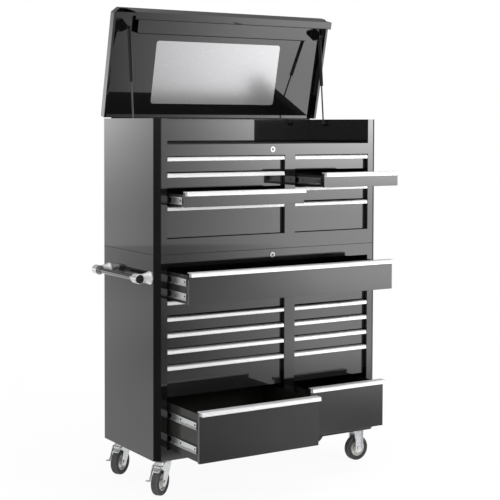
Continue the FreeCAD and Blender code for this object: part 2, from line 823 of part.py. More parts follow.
# Lid, hinge and struts
write("lid_shell", swung(lid_shell()))
write("lid_badge", swung(lid_badge()))
write("lid_hinge_leaf", swung(hinge_leaf(hinge_z + knuckle_r - leaf_t, lid_z + leaf_h, 1)))
write("chest_hinge_leaf", hinge_leaf(hinge_z - leaf_h, hinge_z - knuckle_r + leaf_t, 0), hinge_pin())
write("strut_rod_left", strut_rod())
write("strut_rod_right", mirrored(strut_rod()))
write("strut_tube_left", strut_tube())
write("strut_tube_right", mirrored(strut_tube()))
write("strut_foot_studs", foot_stud(), mirrored(foot_stud()))
write("strut_head_brackets", swung(head_bracket()), swung(mirrored(head_bracket())))

# Locks and push handle
write("lock_housings", lock_housing(chest_lock_z), lock_housing(cabinet_lock_z))
write("chest_lock_plug", lock_plug(chest_lock_z))
write("cabinet_lock_plug", lock_plug(cabinet_lock_z))
write("push_handle_bar", handle_bar(), handle_collar(handle_inset, 1),
      handle_collar(depth - handle_inset, -1))
write("push_handle_brackets", handle_bracket(handle_inset, 1), handle_cap(handle_inset, 1),
      handle_bracket(depth - handle_inset, -1), handle_cap(depth - handle_inset, -1))

# Casters: two that swivel and brake under the handle, two that run straight
front = (swivel_x, swivel_front_y, front_heading)
rear = (swivel_x, swivel_rear_y, rear_heading)
write("swivel_plates", *(placed([swivel_plate()], swivel_x, swivel_front_y, 0)
                         + placed([swivel_plate()], swivel_x, swivel_rear_y, 0)))
write("swivel_fork_front", *placed([swivel_fork(), axle_bolt(trail)], *front))
write("swivel_fork_rear", *placed([swivel_fork(), axle_bolt(trail)], *rear))
write("brake_pedal_front", *placed([brake_pedal()], *front))
write("brake_pedal_rear", *placed([brake_pedal()], *rear))
write("wheel_front_left", *placed(wheel(trail), *front))
write("wheel_rear_left", *placed(wheel(trail), *rear))
rigid_front = (width - rigid_x, rigid_front_y, 0)
rigid_rear = (width - rigid_x, rigid_rear_y, 0)
write("rigid_casters", *(placed([rigid_fork(), axle_bolt(0)], *rigid_front)
                         + placed([rigid_fork(), axle_bolt(0)], *rigid_rear)))
write("wheel_front_right", *placed(wheel(0), *rigid_front))
write("wheel_rear_right", *placed(wheel(0), *rigid_rear))
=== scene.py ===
import json
import math

import bmesh
import bpy
from mathutils import Matrix, Vector

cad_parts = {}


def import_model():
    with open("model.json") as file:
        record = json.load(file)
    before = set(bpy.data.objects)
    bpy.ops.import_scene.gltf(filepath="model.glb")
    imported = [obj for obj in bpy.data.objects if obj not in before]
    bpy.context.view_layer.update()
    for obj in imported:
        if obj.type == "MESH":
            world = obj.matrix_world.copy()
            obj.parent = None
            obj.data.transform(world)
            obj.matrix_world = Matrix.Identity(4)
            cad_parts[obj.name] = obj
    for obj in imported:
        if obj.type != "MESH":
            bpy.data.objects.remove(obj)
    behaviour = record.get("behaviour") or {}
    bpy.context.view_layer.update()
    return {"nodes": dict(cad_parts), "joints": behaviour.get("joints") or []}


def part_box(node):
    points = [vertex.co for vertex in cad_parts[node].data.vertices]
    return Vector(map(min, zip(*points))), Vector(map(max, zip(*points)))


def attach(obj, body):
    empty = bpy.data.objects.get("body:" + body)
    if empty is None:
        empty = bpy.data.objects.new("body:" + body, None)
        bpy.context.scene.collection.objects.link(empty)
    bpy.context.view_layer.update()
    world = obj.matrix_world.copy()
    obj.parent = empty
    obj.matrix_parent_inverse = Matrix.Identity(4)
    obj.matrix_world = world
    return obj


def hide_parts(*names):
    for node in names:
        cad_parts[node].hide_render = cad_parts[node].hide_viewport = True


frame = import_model()
nodes = frame["nodes"]

# Sheet and drawer sizes in metres, the same as in the source
SKIN = 0.0012
FACE_RECESS = 0.021
FRONT_T = 0.018
TRAY_LEN = 0.450
RIM_DROP = 0.019
ROW_GAP = 0.004
PULL_H = 0.019
PULL_T = 0.0025
PULL_ROUND = 0.006
SIDE_CLEAR = 0.002
SLIDE_T = 0.0127
SLIDE_H = 0.036
SLIDE_REACH = 0.010
SLIDE_LEN = 0.440
SLIDE_FIT = 0.0003
SLIDE_WEB = 0.0015
SLIDE_SETBACK = 0.008

# Finer detail of the drawers, only here, with PULL_TURN in degrees. A drawer taller than
# DEEP_DRAWER has two runners a side.
PULL_LEAN = 0.0010
PULL_TURN = 175
PULL_INSET = 0.0005
DEEP_DRAWER = 0.2
FACE_CLEAR = 0.0004
FACE_BEVEL = 0.0010
TRACK_H = 0.005
TRACK_T = 0.0030
TRACK_ROUND = 0.0008
STOP_LEN = 0.007
STOP_SUNK = 0.0005
STOP_ROUND = 0.0010
SCREWS = 4
SCREW_FIRST = 0.032
SCREW_PITCH = 0.128
SCREW_R = 0.0042
SCREW_SHOULDER = 0.00378
SCREW_EDGE = 0.0012
SCREW_TOP = 0.0017
DRIVE_R = 0.00189
DRIVE_FLOOR = 0.0009

# Corners of the boxes, the dark strip of painted shade in their seam, and the mat in the till
CORNER_X = 0.028
CORNER_Y = 0.025
SEAM_H = 0.0010
SEAM_PROUD = 0.0002
SEAM_SUNK = 0.0010
MAT_INSET = 0.004
MAT_T = 0.001
SLOT_HALF = 0.017
SLOT_BACK = 0.038

# Lid, drawn shut and swung open about its hinge, and the dark strips of painted shade along the
# edges of its hat and flap
LID_OPEN = 77.0
LID_GAP = 0.001
HAT_INSET = 0.135
HAT_EDGE = (0.1150, 0.1188)
FLAP_INSET = 0.0645
FLAP_EDGE = (0.0330, 0.0361)
CATCH_DROP = 0.022
EDGE_PROUD = 0.0003

# Black caps in the ends of the push handle
CAP_R = 0.0198

# Wheels
WHEEL_R = 0.0625
WHEEL_W = 0.036
RIM_R = 0.040
RIM_W = 0.030
RIM_T = 0.004
HUB_R = 0.015
HUB_REACH = 0.0207
AXLE_BORE = 0.0063
GROOVES = (0.0070, 0.0023)
GROOVE_W = 0.0009
GROOVE_FLOOR = 0.00054
GROOVE_D = 0.0011
# Tyre section, each point as (off the rim's or down from the tread's radius, in from the side)
TYRE_BEAD = ((0, 0.0016), (0.0030, 0.0004), (0.0044, 0))
TYRE_SHOULDER = ((0.0072, 0), (0.0044, 0.0008), (0.0022, 0.0026), (0.0008, 0.0052), (0, 0.0082))
# Hub section: rounded edge of the boss, its foot, and the dish as (radius, off the middle)
BOSS_EDGE = ((0.0030, 0), (0.0012, 0.0006), (0.0004, 0.0020))
BOSS_FOOT = ((0, 0.0062), (0.0016, 0.0045))
DISH = [(0.0270, 0.0040), (0.0306, 0.0048), (0.0334, 0.0082)]
DISH_OUTER = 0.0110
RIM_ROUND = (0.0012, 0.0010)
RIM_LAP = 0.0006
TREAD_DEPTH = 0.0040

# Brakes
SHOE_GAP = 0.004
SHOE_ARC = 24.0
BRAKE_T = 0.003
BRAKE_W = 0.034
BRAKE_PIN_R = 0.004
BRAKE_HUB_R = 0.008
BRAKE_EAR_R = 0.009
BRAKE_OUT = 0.0248
TAB_LEN = 0.015
EAR_ROUND = 0.001
# Lever beside the wheel: its top about the pin, its arm and foot tab about the wheel's axle
LEVER_TOP = [(-0.005, -0.006), (0.006, 0.004)]
LEVER_ARM = [(0.046, 0.034), (0.060, 0.014), (0.062, 0.0112), (0.052, 0.0112), (0.036, 0.030)]
FOOT_TAB = [(0.044, 0.0112), (0.062, 0.0112), (0.064, 0.0124), (0.064, 0.0142), (0.044, 0.0142)]

# Camera, fitted to the photograph's edges
CAM_AT = Vector((-3.2615, -5.2727, 1.7035))
CAM_YAW = 0.5596
CAM_PITCH = 0.0445
CAM_ROLL = 0.0031
CAM_LENS = 90.64
CAM_SHIFT_Y = -0.14


# Node helpers

class Nodes:
    """Short way to build a material's node tree."""

    def __init__(self, tree):
        self.tree = tree
        tree.nodes.clear()

    def add(self, kind, **settings):
        node = self.tree.nodes.new(kind)
        for key, value in settings.items():
            if key in node.inputs:
                node.inputs[key].default_value = value
            else:
                setattr(node, key, value)
        return node

    def link(self, out, into):
        self.tree.links.new(out, into)

    def mapped(self, scale):
        """Object coordinates, stretched by scale."""
        coords = self.add("ShaderNodeTexCoord")
        mapping = self.add("ShaderNodeMapping")
        mapping.inputs["Scale"].default_value = scale
        self.link(coords.outputs["Object"], mapping.inputs["Vector"])
        return mapping.outputs["Vector"]

    def noise(self, scale, detail=3.0, stretch=(1, 1, 1), roughness=0.5):
        noise = self.add("ShaderNodeTexNoise")
        noise.inputs["Scale"].default_value = scale
        noise.inputs["Detail"].default_value = detail
        noise.inputs["Roughness"].default_value = roughness
        self.link(self.mapped(stretch), noise.inputs["Vector"])
        return noise.outputs["Fac"]

    def span(self, value, low, high):
        """Maps the middle half of a noise to low to high."""
        node = self.add("ShaderNodeMapRange")
        node.inputs["From Min"].default_value = 0.25
        node.inputs["From Max"].default_value = 0.75
        node.inputs["To Min"].default_value = low
        node.inputs["To Max"].default_value = high
        self.link(value, node.inputs["Value"])
        return node.outputs["Result"]

    def blend(self, fac, low, high):
        """Colour between low and high."""
        node = self.add("ShaderNodeMix", data_type="RGBA")
        node.inputs["A"].default_value = (*low, 1)
        node.inputs["B"].default_value = (*high, 1)
        self.link(fac, node.inputs["Factor"])
        return node.outputs["Result"]

    def math(self, operation, first, second):
        node = self.add("ShaderNodeMath", operation=operation)
        self.link(first, node.inputs[0])
        self.link(second, node.inputs[1])
        return node.outputs[0]

    def times(self, value, factor):
        node = self.add("ShaderNodeMath", operation="MULTIPLY")
        self.link(value, node.inputs[0])
        node.inputs[1].default_value = factor
        return node.outputs[0]

    def mix_shader(self, fac, low, high):
        node = self.add("ShaderNodeMixShader")
        self.link(fac, node.inputs["Fac"])
        self.link(low, node.inputs[1])
        self.link(high, node.inputs[2])
        return node.outputs[0]

    def bump(self, height, strength, distance):
        node = self.add("ShaderNodeBump")
        node.inputs["Strength"].default_value = strength
        node.inputs["Distance"].default_value = distance
        self.link(height, node.inputs["Height"])
        return node.outputs["Normal"]


def principled(name, metallic=0.0, coat=0.0, coat_roughness=0.03, coat_ior=1.5, specular=0.5):
    """New material with one Principled shader; what is the same all over is set here."""
    material = bpy.data.materials.new(name)
    material.use_nodes = True
    tree = Nodes(material.node_tree)
    shader = tree.add("ShaderNodeBsdfPrincipled")
    shader.inputs["Metallic"].default_value = metallic
    shader.inputs["IOR"].default_value = 1.5
    shader.inputs["Coat Weight"].default_value = coat
    shader.inputs["Coat Roughness"].default_value = coat_roughness
    shader.inputs["Coat IOR"].default_value = coat_ior
    shader.inputs["Specular IOR Level"].default_value = specular
    out = tree.add("ShaderNodeOutputMaterial")
    tree.link(shader.outputs["BSDF"], out.inputs["Surface"])
    return material, tree, shader


def paint(name, low, high, rough=(0.14, 0.22), peel=0.02, coat=1.0, coat_ior=1.8):
    """Gloss enamel: faint mottling, a little orange peel and a clear coat."""
    material, tree, shader = principled(name, coat=coat, coat_ior=coat_ior, coat_roughness=0.025,
                                        specular=0.1)
    mottle = tree.noise(9.0, detail=4.0)
    tree.link(tree.blend(mottle, low, high), shader.inputs["Base Color"])
    tree.link(tree.span(tree.noise(24.0), *rough), shader.inputs["Roughness"])
    peeled = tree.bump(tree.noise(420.0, detail=2.0), peel, 0.0004)
    tree.link(peeled, shader.inputs["Normal"])
    return material


def metal(name, low, high, rough, stretch=(1, 1, 1), grain=300.0, relief=0.05, metallic=1.0):
    """Bare metal with streaks or grain in its colour, gloss and relief."""
    material, tree, shader = principled(name, metallic=metallic)
    streak = tree.noise(grain, 4.0, stretch)
    tree.link(tree.blend(streak, low, high), shader.inputs["Base Color"])
    tree.link(tree.span(streak, *rough), shader.inputs["Roughness"])
    tree.link(tree.bump(streak, relief, 0.0002), shader.inputs["Normal"])
    return material


def capped_chrome(name, centre):
    """Satin chrome with black plastic within the caps' radius of the handle's axis."""
    material, tree, shader = principled(name)
    coords = tree.add("ShaderNodeTexCoord")
    off = tree.add("ShaderNodeVectorMath", operation="SUBTRACT")
    tree.link(coords.outputs["Object"], off.inputs[0])
    off.inputs[1].default_value = centre
    flat = tree.add("ShaderNodeVectorMath", operation="MULTIPLY")
    tree.link(off.outputs[0], flat.inputs[0])
    flat.inputs[1].default_value = (1, 0, 1)
    length = tree.add("ShaderNodeVectorMath", operation="LENGTH")
    tree.link(flat.outputs[0], length.inputs[0])
    cap = tree.add("ShaderNodeMath", operation="LESS_THAN")
    tree.link(length.outputs["Value"], cap.inputs[0])
    cap.inputs[1].default_value = CAP_R
    grain = tree.noise(60.0, 3.0)
    colour = tree.add("ShaderNodeMix", data_type="RGBA")
    tree.link(cap.outputs[0], colour.inputs["Factor"])
    tree.link(tree.blend(grain, (0.82, 0.82, 0.83), (0.92, 0.92, 0.93)), colour.inputs["A"])
    tree.link(tree.blend(grain, (0.006, 0.006, 0.006), (0.012, 0.012, 0.012)), colour.inputs["B"])
    tree.link(colour.outputs["Result"], shader.inputs["Base Color"])
    for socket, bare, covered in (("Metallic", 0.6, 0.0), ("Roughness", 0.12, 0.45)):
        share = tree.add("ShaderNodeMapRange")
        share.inputs["To Min"].default_value = bare
        share.inputs["To Max"].default_value = covered
        tree.link(cap.outputs[0], share.inputs["Value"])
        tree.link(share.outputs["Result"], shader.inputs[socket])
    tree.link(tree.bump(tree.noise(500.0, 2.0), 0.01, 0.0001), shader.inputs["Normal"])
    return material


def zinc(name, low, high, rough):
    """Zinc plate: fine spangle over a soft mottling."""
    material, tree, shader = principled(name, metallic=1.0)
    cells = tree.add("ShaderNodeTexVoronoi")
    cells.inputs["Scale"].default_value = 420.0
    tree.link(tree.mapped((1, 1, 1)), cells.inputs["Vector"])
    tree.link(tree.blend(cells.outputs["Distance"], low, high), shader.inputs["Base Color"])
    tree.link(tree.span(tree.noise(60.0, 4.0), *rough), shader.inputs["Roughness"])
    tree.link(tree.bump(tree.noise(500.0, 2.0), 0.01, 0.0001), shader.inputs["Normal"])
    return material


def rubber(name, low, high, rough=(0.55, 0.75)):
    material, tree, shader = principled(name, specular=0.35)
    grain = tree.noise(180.0, 5.0)
    tree.link(tree.blend(grain, low, high), shader.inputs["Base Color"])
    tree.link(tree.span(tree.noise(40.0, 3.0), *rough), shader.inputs["Roughness"])
    tree.link(tree.bump(grain, 0.12, 0.0004), shader.inputs["Normal"])
    return material


PAINT = paint("gloss_black_enamel", (0.0030, 0.0030, 0.0032), (0.0060, 0.0060, 0.0064))
PAINT_FACE = paint("drawer_face_enamel", (0.010, 0.010, 0.0104), (0.016, 0.016, 0.0166))
PAINT_INSIDE = paint("tray_enamel", (0.014, 0.0143, 0.0120), (0.023, 0.0235, 0.0200),
                     rough=(0.30, 0.40), coat=0.4)
ALUMINIUM = metal("satin_aluminium", (0.74, 0.74, 0.75), (0.84, 0.84, 0.85), (0.26, 0.34),
                  stretch=(0.05, 1, 1), grain=900.0, metallic=0.5)
BRUSHED = metal("brushed_steel_plate", (0.50, 0.50, 0.51), (0.62, 0.62, 0.63), (0.18, 0.28),
                stretch=(0.03, 1, 1), grain=1200.0, metallic=0.7)
CHROME = metal("chrome_plate", (0.40, 0.40, 0.41), (0.50, 0.50, 0.51), (0.05, 0.09),
               grain=40.0, relief=0.01)
PLUG = metal("lock_plug_brass", (0.16, 0.16, 0.16), (0.24, 0.24, 0.24), (0.20, 0.30), grain=300.0)
DARK_CHROME = metal("handle_tube_chrome", (0.22, 0.22, 0.23), (0.30, 0.30, 0.31), (0.06, 0.10),
                    grain=40.0, relief=0.01)
ZINC = zinc("bright_zinc", (0.82, 0.83, 0.84), (0.88, 0.89, 0.90), (0.16, 0.24))
FORK = metal("fork_zinc", (0.58, 0.59, 0.60), (0.72, 0.73, 0.74), (0.24, 0.36), grain=110.0,
             metallic=0.6)
STEEL = metal("strut_steel", (0.10, 0.10, 0.105), (0.18, 0.18, 0.185), (0.18, 0.30), grain=200.0)
BLACK_STEEL = paint("strut_black", (0.006, 0.006, 0.006), (0.012, 0.012, 0.012),
                    rough=(0.25, 0.35), coat=0.3)
TREAD = rubber("grey_rubber_tread", (0.080, 0.080, 0.081), (0.112, 0.112, 0.114))
SIDEWALL = rubber("black_rubber_sidewall", (0.024, 0.024, 0.024), (0.044, 0.044, 0.044))
HUB = metal("pressed_hub", (0.58, 0.57, 0.54), (0.74, 0.73, 0.70), (0.30, 0.42), grain=160.0,
            metallic=0.45)
# Black rubber of the till mat; the same black is painted shade in the strips of the boxes' seam
# and the lid's edges
RUBBER_AND_SHADE = rubber("black_rubber", (0.004, 0.004, 0.004), (0.010, 0.010, 0.010), (0.6, 0.8))
PLASTIC = rubber("black_plastic", (0.006, 0.006, 0.006), (0.014, 0.014, 0.014), (0.35, 0.5))


# Mesh helpers

SHARP_ANGLE = 32.0


def finish_piece(obj, material, body, smooth=True):
    """Gives a piece its material, shading and body."""
    obj.data.materials.clear()
    obj.data.materials.append(material)
    if smooth:
        for face in obj.data.polygons:
            face.use_smooth = True
        obj.data.set_sharp_from_angle(angle=math.radians(SHARP_ANGLE))
        normals = obj.modifiers.new("weighted", "WEIGHTED_NORMAL")
        normals.keep_sharp = True
    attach(obj, body)
    return obj


def link_mesh(name, bm):
    """Object in the scene from a bmesh, with its faces turned outwards."""
    bmesh.ops.recalc_face_normals(bm, faces=bm.faces)
    mesh = bpy.data.meshes.new(name)
    bm.to_mesh(mesh)
    bm.free()
    obj = bpy.data.objects.new(name, mesh)
    bpy.context.scene.collection.objects.link(obj)
    return obj


def add_prism(bm, profile, axis, a, b):
    """Closed outline extruded from a to b along an axis; profile points are in the other two."""
    def at(p, t):
        if axis == "X":
            return (t, p[0], p[1])
        if axis == "Y":
            return (p[0], t, p[1])
        return (p[0], p[1], t)
    low = [bm.verts.new(at(p, a)) for p in profile]
    high = [bm.verts.new(at(p, b)) for p in profile]
    n = len(profile)
    bm.faces.new(low)
    bm.faces.new(high)
    for i in range(n):
        j = (i + 1) % n
        bm.faces.new((low[i], low[j], high[j], high[i]))


def add_box(bm, lo, hi, bevel=0.0, segments=2):
    """Box from corner to corner, with rounded edges where bevel is given."""
    made = bmesh.ops.create_cube(bm, size=1.0)
    size = Vector(hi) - Vector(lo)
    mid = (Vector(hi) + Vector(lo)) / 2
    for v in made["verts"]:
        v.co = Vector((v.co.x * size.x, v.co.y * size.y, v.co.z * size.z)) + mid
    if bevel:
        edges = {e for v in made["verts"] for e in v.link_edges}
        bmesh.ops.bevel(bm, geom=list(edges), offset=bevel, segments=segments,
                        affect="EDGES", profile=0.5)


def arc(cy, cz, r, a0, a1, steps):
    """Points on an arc, from angle a0 to a1 in degrees."""
    points = []
    for i in range(steps + 1):
        a = math.radians(a0 + (a1 - a0) * i / steps)
        points.append((cy + r * math.cos(a), cz + r * math.sin(a)))
    return points


def add_spin(bm, profile, centre, axis, steps=64):
    """Closed outline (radius, along) turned about an axis through centre."""
    axis = Vector(axis).normalized()
    side = axis.orthogonal().normalized()
    rings = []
    for i in range(steps):
        turn = Matrix.Rotation(2 * math.pi * i / steps, 3, axis)
        out = turn @ side
        rings.append([bm.verts.new(Vector(centre) + out * r + axis * t) for r, t in profile])
    n = len(profile)
    for i in range(steps):
        a, b = rings[i], rings[(i + 1) % steps]
        for k in range(n):
            m = (k + 1) % n
            bm.faces.new((a[k], a[m], b[m], b[k]))


def add_turned(bm, profile, centre, axis, steps=48):
    """Open outline (radius, along) turned about an axis, closed where its radius is 0."""
    axis = Vector(axis).normalized()
    side = axis.orthogonal().normalized()
    centre = Vector(centre)
    rings = []
    for r, t in profile:
        if r == 0:
            rings.append([bm.verts.new(centre + axis * t)] * steps)
            continue
        ring = []
        for i in range(steps):
            out = Matrix.Rotation(2 * math.pi * i / steps, 3, axis) @ side
            ring.append(bm.verts.new(centre + out * r + axis * t))
        rings.append(ring)
    for low, high in zip(rings, rings[1:]):
        for i in range(steps):
            j = (i + 1) % steps
            corners = [low[i], low[j], high[j], high[i]]
            bm.faces.new([v for n, v in enumerate(corners) if v not in corners[:n]])


def joint_place(child):
    """Place and axis of the joint that moves a body."""
    joint = next(j for j in frame["joints"] if j["child"] == child)
    return Vector(joint["pos_m"]), Vector(joint["axis"])


# Carcass, lid and hardware from the CAD, each with its finish

PAINTED = ["cabinet_left_side", "cabinet_right_side", "cabinet_back", "cabinet_top",
           "cabinet_floor", "cabinet_frame", "chest_left_side", "chest_right_side",
           "chest_back", "chest_base", "chest_frame", "chest_till_floor", "lid_shell"]


def dress(material, *names):
    """Gives CAD nodes their material."""
    for name in names:
        mesh = nodes[name].data
        mesh.materials.clear()
        mesh.materials.append(material)


dress(PAINT, *PAINTED)
dress(ZINC, "cabinet_slides", "chest_slides")
dress(FORK, "swivel_plates", "rigid_casters", "swivel_fork_front", "swivel_fork_rear")
dress(BRUSHED, "lid_badge")
dress(CHROME, "lock_housings")
bar_lo, bar_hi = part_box("push_handle_bar")
dress(capped_chrome("satin_chrome", (bar_lo + bar_hi) / 2), "push_handle_brackets")
dress(PLUG, "chest_lock_plug", "cabinet_lock_plug")
dress(DARK_CHROME, "push_handle_bar")
dress(BLACK_STEEL, "strut_tube_left", "strut_tube_right", "strut_head_brackets")
dress(STEEL, "strut_rod_left", "strut_rod_right", "strut_foot_studs", "lid_hinge_leaf",
      "chest_hinge_leaf")


# Painted shade in the seam between the boxes and along the lid's edges, and the mat in the till

def painted_seam_shadow():
    """Painted shade: a dark strip along the joint of the two boxes, just proud of their sides,
    where the seam's shadow falls.
    """
    lo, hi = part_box("chest_base")
    outline = [(lo.x + CORNER_X, lo.y), (hi.x - CORNER_X, lo.y), (hi.x, lo.y + CORNER_Y),
               (hi.x, hi.y), (lo.x, hi.y), (lo.x, lo.y + CORNER_Y)]
    middle = (lo + hi) / 2
    bm = bmesh.new()
    rings = []
    section = ((-SEAM_SUNK, -SEAM_H), (SEAM_PROUD, -SEAM_H), (SEAM_PROUD, SEAM_H),
               (-SEAM_SUNK, SEAM_H))
    for grow, z in section:
        ring = []
        for x, y in outline:
            share = (1 + grow / (hi.x - middle.x), 1 + grow / (hi.y - middle.y))
            ring.append(bm.verts.new((middle.x + (x - middle.x) * share[0],
                                      middle.y + (y - middle.y) * share[1], lo.z + z)))
        rings.append(ring)
    for a, b in zip(rings, rings[1:] + rings[:1]):
        for i in range(len(outline)):
            j = (i + 1) % len(outline)
            bm.faces.new((a[i], a[j], b[j], b[i]))
    finish_piece(link_mesh("seam_shadow_strip", bm), RUBBER_AND_SHADE, "carcass", smooth=False)


def till_mat():
    """Thin mat on the till's floor, notched for the lid's catch."""
    lo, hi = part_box("chest_till_floor")
    x0, x1 = lo.x + MAT_INSET, hi.x - MAT_INSET
    y0, y1 = lo.y + MAT_INSET, hi.y - MAT_INSET
    middle, slot_y = (x0 + x1) / 2, lo.y + SLOT_BACK
    outline = [(x0, y0), (middle - SLOT_HALF, y0), (middle - SLOT_HALF, slot_y),
               (middle + SLOT_HALF, slot_y), (middle + SLOT_HALF, y0), (x1, y0), (x1, y1),
               (x0, y1)]
    bm = bmesh.new()
    add_prism(bm, outline, "Z", hi.z, hi.z + MAT_T)
    finish_piece(link_mesh("till_mat", bm), RUBBER_AND_SHADE, "carcass", smooth=False)


def lid_edge_shadows():
    """Painted shade: dark strips along the edges of the flap and of the hat that stiffens the lid.
    """
    hinge, _ = joint_place("lid")
    turn = Matrix.Rotation(math.radians(-LID_OPEN), 3, "X")
    back = turn.inverted()
    shut = [back @ (v.co - hinge) for v in nodes["lid_shell"].data.vertices]
    front = min(p.y for p in shut)
    half = max(p.x for p in shut)
    flap = min(p.z for p in shut) + CATCH_DROP
    bm = bmesh.new()
    for (a, b), inset, z in ((HAT_EDGE, HAT_INSET, LID_GAP / 2), (FLAP_EDGE, FLAP_INSET, flap)):
        add_box(bm, (inset - half, front + a, z - EDGE_PROUD),
                (half - inset, front + b, z + EDGE_PROUD))
    for v in bm.verts:
        v.co = turn @ v.co + hinge
    finish_piece(link_mesh("lid_edge_shadows", bm), RUBBER_AND_SHADE, "lid", smooth=False)


painted_seam_shadow()
till_mat()
lid_edge_shadows()


# Drawers

def pull_profile(front_y, z_top):
    """Section of the pull: rounded nose, hanging lip and the flange on the front."""
    r, t, lean = PULL_ROUND, PULL_T, PULL_LEAN
    back = front_y + FACE_RECESS + FRONT_T
    nose = front_y + lean + r
    points = [(back, z_top)]
    points += arc(nose, z_top - r, r, 90, PULL_TURN, steps=6)
    points += arc(front_y + t / 2, z_top - PULL_H + t / 2, t / 2, PULL_TURN, 360, steps=5)
    points += arc(nose, z_top - r, r - t, PULL_TURN, 90, steps=4)
    leg = front_y + FACE_RECESS - t
    points += [(leg, z_top - t), (leg, z_top - PULL_H), (leg + t, z_top - PULL_H)]
    points += [(leg + t, z_top - t), (back, z_top - t)]
    return points


def slide_details(steel, ends, web, tip, sign, front_y, z, half):
    """Ball track, screws and the black stops of one drawer channel."""
    inner = half - SLIDE_WEB
    track = web + sign * TRACK_T
    for low in (z - inner, z + inner - TRACK_H):
        add_box(steel, (min(web, track), front_y + STOP_LEN, low),
                (max(web, track), front_y + SLIDE_LEN, low + TRACK_H), TRACK_ROUND, 2)
    screw = [(0.0, 0.0), (SCREW_R, 0.0), (SCREW_SHOULDER, SCREW_EDGE), (DRIVE_R, SCREW_TOP),
             (DRIVE_R, DRIVE_FLOOR), (0.0, DRIVE_FLOOR)]
    for n in range(SCREWS):
        y = front_y + SCREW_FIRST + n * SCREW_PITCH
        add_turned(ends, screw, (web, y, z), (sign, 0, 0), steps=20)
    cover = tip - sign * STOP_SUNK
    for y in (front_y, front_y + SLIDE_LEN - STOP_LEN):
        add_box(ends, (min(web, cover), y, z - inner),
                (max(web, cover), y + STOP_LEN, z + inner), STOP_ROUND, 2)


def drawer(node):
    """Face, pull, tray and runners in the box of a CAD drawer, with one or two runners a side."""
    lo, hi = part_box(node)
    left, right = lo.x, hi.x
    front_y = lo.y
    bottom, top = lo.z, hi.z
    tray_left, tray_right = left + SLIDE_T - SIDE_CLEAR, right - SLIDE_T + SIDE_CLEAR
    face_front, tray_front = front_y + FACE_RECESS, front_y + FACE_RECESS + FRONT_T
    rim = top + ROW_GAP - RIM_DROP

    bm = bmesh.new()
    face_back = tray_front - FACE_CLEAR
    add_box(bm, (left, face_front, bottom), (right, face_back, top - PULL_T), FACE_BEVEL, 3)
    face = finish_piece(link_mesh(node + "_face", bm), PAINT_FACE, node)
    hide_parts(node)

    bm = bmesh.new()
    add_prism(bm, pull_profile(front_y, top), "X", left + PULL_INSET, right - PULL_INSET)
    finish_piece(link_mesh(node + "_pull", bm), ALUMINIUM, node)

    bm = bmesh.new()
    tray_end = tray_front + TRAY_LEN
    well_left, well_right = tray_left + SKIN, tray_right - SKIN
    well_front, well_end = tray_front + SKIN, tray_end - SKIN
    add_box(bm, (tray_left, tray_front, bottom), (well_left, tray_end, rim))
    add_box(bm, (well_right, tray_front, bottom), (tray_right, tray_end, rim))
    add_box(bm, (well_left, face_back, bottom), (well_right, well_front, rim))
    add_box(bm, (well_left, well_end, bottom), (well_right, tray_end, rim))
    add_box(bm, (well_left, well_front, bottom), (well_right, well_end, bottom + SKIN))
    finish_piece(link_mesh(node + "_tray", bm), PAINT_INSIDE, node)

    double = top - bottom > DEEP_DRAWER or node == "drawer_wide"
    count = 2 if double else 1
    half = SLIDE_H / 2 - SLIDE_WEB - SLIDE_FIT
    slide_front = tray_front + SLIDE_SETBACK
    steel, ends = bmesh.new(), bmesh.new()
    for n in range(count):
        z = bottom + (rim - bottom) * (2 * n + 1) / (2 * count)
        for x, sign in ((tray_left, -1), (tray_right, 1)):
            web, tip = x + sign * SLIDE_WEB, x + sign * SLIDE_REACH
            profile = [(x, z - half), (tip, z - half), (tip, z - half + SLIDE_WEB),
                       (web, z - half + SLIDE_WEB), (web, z + half - SLIDE_WEB),
                       (tip, z + half - SLIDE_WEB), (tip, z + half), (x, z + half)]
            add_prism(steel, profile, "Y", slide_front, slide_front + SLIDE_LEN)
            slide_details(steel, ends, web, tip, sign, slide_front, z, half)
    finish_piece(link_mesh(node + "_runners", steel), ZINC, node)
    finish_piece(link_mesh(node + "_stops", ends), PLASTIC, node)


drawers = [name for name in nodes if name.startswith(("drawer_", "chest_drawer_"))]
for name in sorted(drawers):
    drawer(name)


# Wheels

def mirrored(half):
    """Outline of (radius, along) pairs closed by its own mirror image."""
    return half + [(r, -t) for r, t in half[::-1]]


def wheel(node):
    """Grooved tyre with rounded shoulders, and a dished hub, on the CAD wheel's axis."""
    centre, axis = joint_place(node)
    half = WHEEL_W / 2
    tread = [(RIM_R + out_by, half - in_by) for out_by, in_by in TYRE_BEAD]
    tread += [(WHEEL_R - down, half - in_by) for down, in_by in TYRE_SHOULDER]
    for middle in GROOVES:
        tread += [(WHEEL_R, middle + GROOVE_W), (WHEEL_R - GROOVE_D, middle + GROOVE_FLOOR),
                  (WHEEL_R - GROOVE_D, middle - GROOVE_FLOOR), (WHEEL_R, middle - GROOVE_W)]
    bm = bmesh.new()
    add_spin(bm, mirrored(tread), centre, axis, steps=128)
    tyre = finish_piece(link_mesh(node + "_tyre", bm), SIDEWALL, node)
    tyre.data.materials.append(TREAD)
    for face in tyre.data.polygons:
        out = face.center - centre
        out -= axis * out.dot(axis)
        if out.length > WHEEL_R - TREAD_DEPTH:
            face.material_index = 1
    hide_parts(node)

    lip = RIM_W / 2
    boss = [(AXLE_BORE, HUB_REACH)]
    boss += [(HUB_R - in_by, HUB_REACH - down) for in_by, down in BOSS_EDGE]
    boss += [(HUB_R + out_by, t) for out_by, t in BOSS_FOOT]
    well = RIM_R - RIM_T
    rim = [(well, DISH_OUTER), (well, lip - RIM_ROUND[1]), (well + RIM_ROUND[0], lip),
           (RIM_R - RIM_LAP, lip)]
    bm = bmesh.new()
    add_spin(bm, mirrored(boss + DISH + rim), centre, axis, steps=96)
    finish_piece(link_mesh(node + "_hub", bm), HUB, node)


for name in ("wheel_front_left", "wheel_rear_left", "wheel_front_right", "wheel_rear_right"):
    wheel(name)


# Brakes

